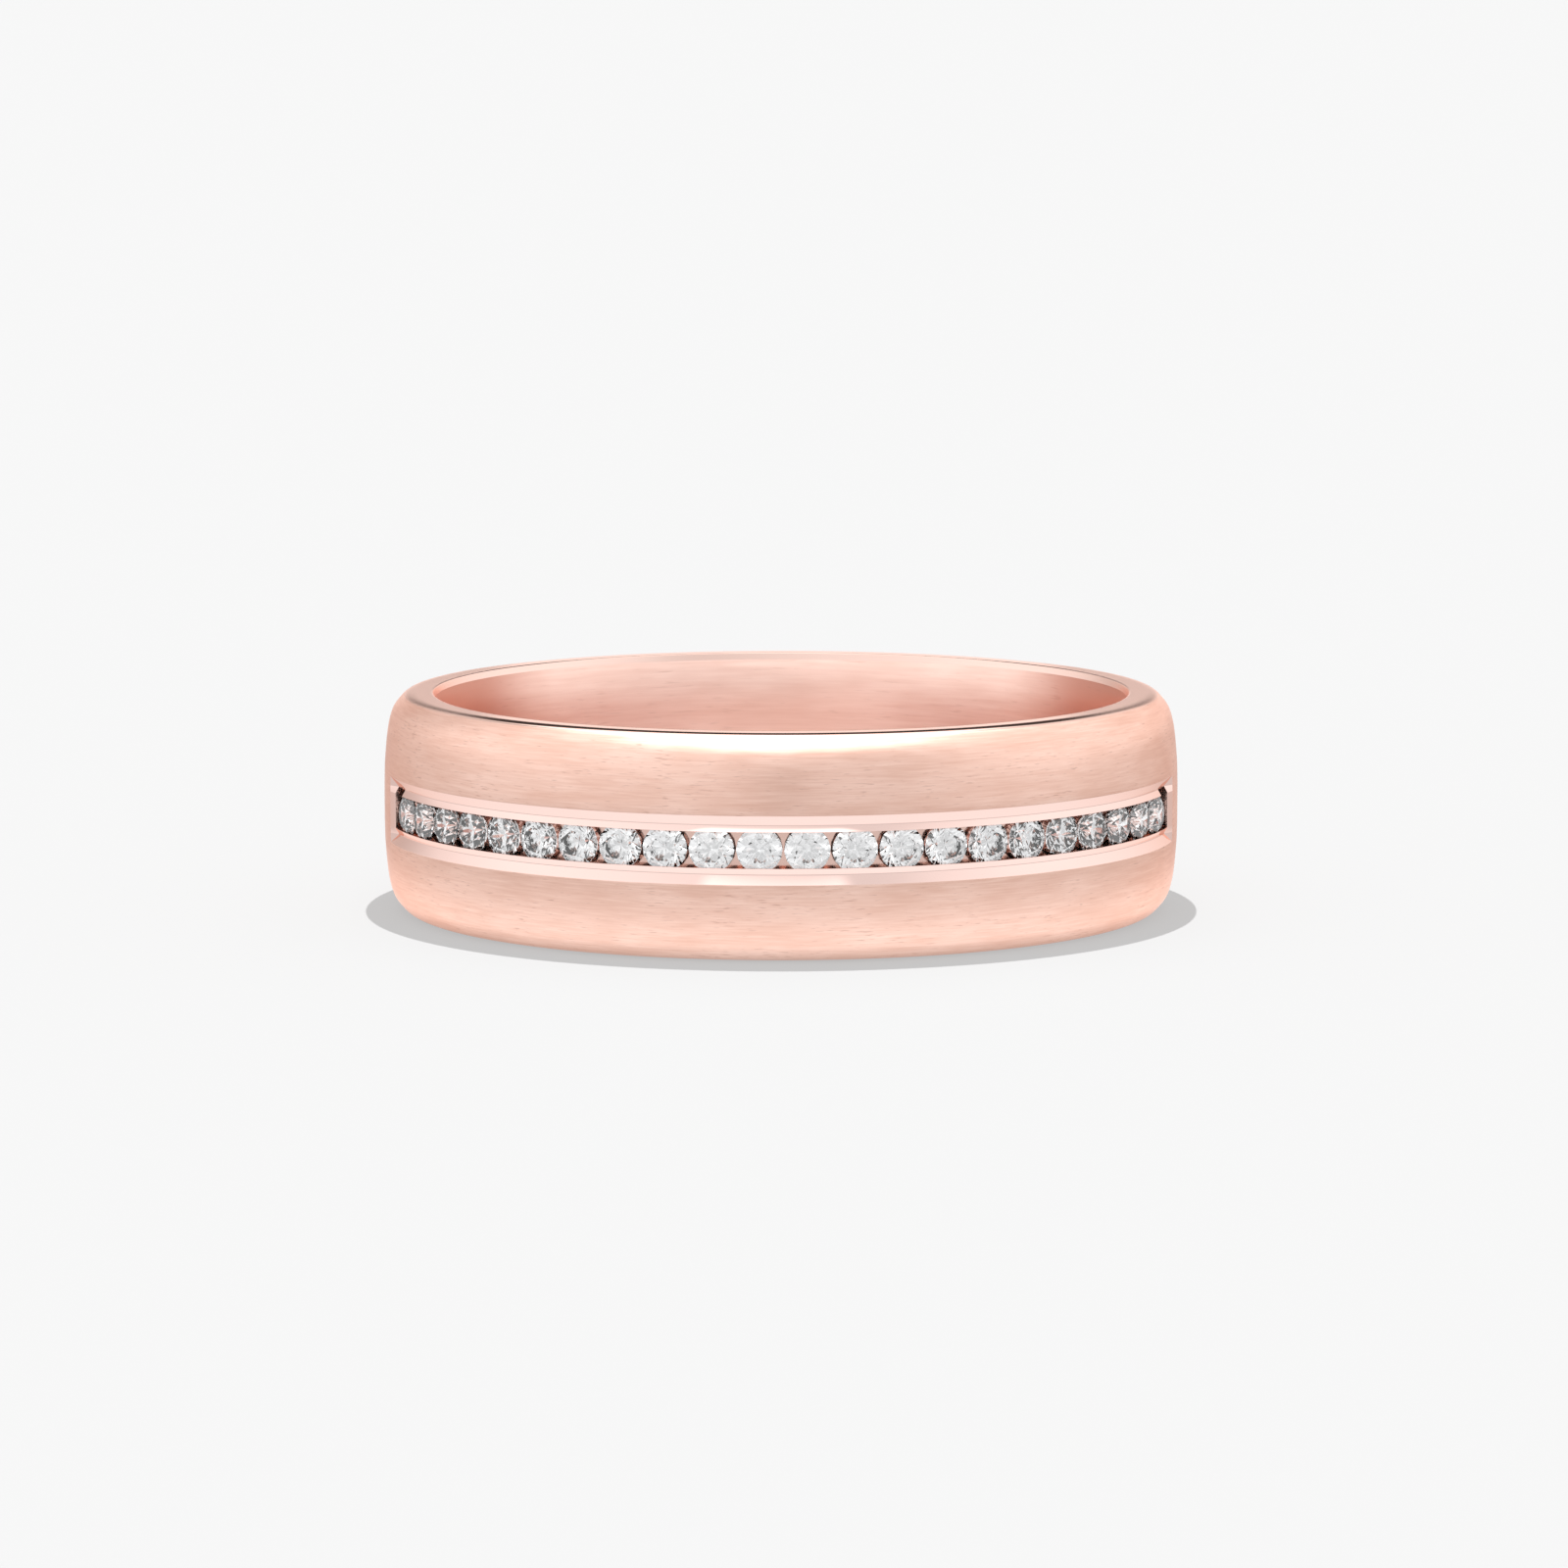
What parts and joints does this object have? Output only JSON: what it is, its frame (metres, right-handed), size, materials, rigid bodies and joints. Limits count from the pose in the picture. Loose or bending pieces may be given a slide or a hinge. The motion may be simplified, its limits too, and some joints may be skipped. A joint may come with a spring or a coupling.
{
  "type": "wedding band",
  "caption": "Domed rose gold wedding band with a satin outside, polished rims and a polished channel that holds a row of round brilliants along its front.",
  "frame": {"origin": "where the axis of the finger hole meets the plane of the lower rim", "axes": "+Z along the axis of the finger hole, from the lower rim to the upper rim; the middle of the row of stones faces -Y; +X to the right seen from the stones' side"},
  "size_m": [0.0234, 0.0234, 0.0064],
  "materials": {
    "rose_gold": "satin brushed round the outside and inside, polished on both rims and on the frame of the channel",
    "diamond": "clear, faceted and polished"
  },
  "bodies": {
    "root": {"band": "rose_gold", "diamond_01": "diamond", "diamond_02": "diamond", "diamond_03": "diamond", "diamond_04": "diamond", "diamond_05": "diamond", "diamond_06": "diamond", "diamond_07": "diamond", "diamond_08": "diamond", "diamond_09": "diamond", "diamond_10": "diamond", "diamond_11": "diamond", "diamond_12": "diamond", "diamond_13": "diamond", "diamond_14": "diamond", "diamond_15": "diamond", "diamond_16": "diamond", "diamond_17": "diamond", "diamond_18": "diamond", "diamond_19": "diamond", "diamond_20": "diamond", "diamond_21": "diamond", "diamond_22": "diamond"}
  },
  "joints": []
}
